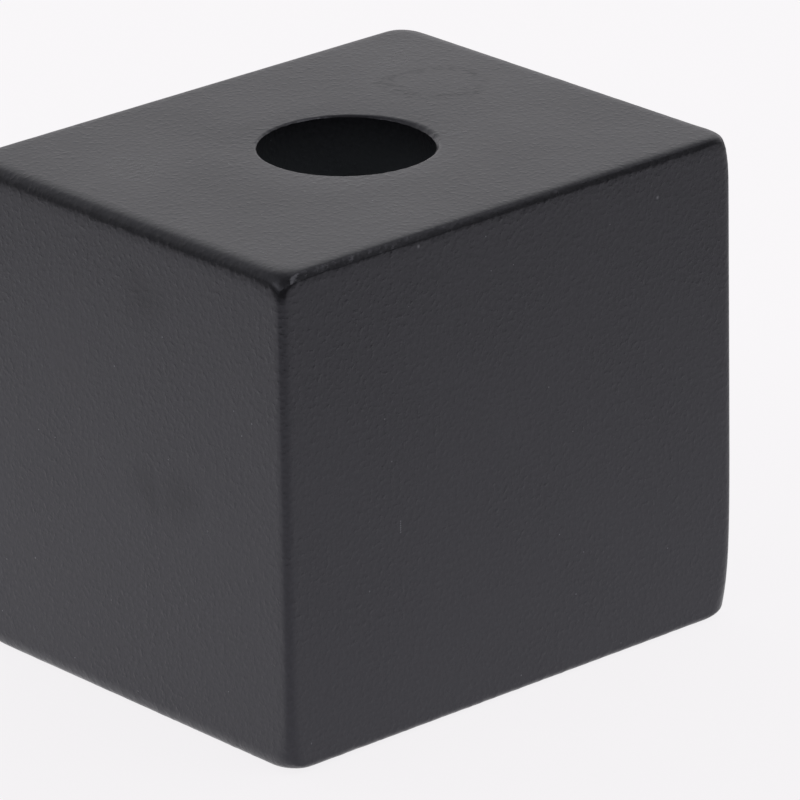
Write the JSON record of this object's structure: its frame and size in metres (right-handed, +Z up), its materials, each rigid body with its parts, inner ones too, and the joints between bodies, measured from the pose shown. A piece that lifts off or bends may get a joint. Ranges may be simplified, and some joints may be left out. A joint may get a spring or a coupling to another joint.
{
  "type": "lead screw nut housing",
  "caption": "Rounded black metal block with a plain through bore for a lead screw nut, tapped underneath for the nut's flange and on one side for a carriage.",
  "frame": {"origin": "centre of the underside, on the bore's axis", "axes": "+Z up along the bore, +X along the block's width, +Y out of the side that bolts to the carriage"},
  "size_m": [0.034, 0.0276, 0.0295],
  "materials": {
    "black_coating": "satin"
  },
  "bodies": {
    "root": {"nut_housing": "black_coating"}
  },
  "joints": []
}
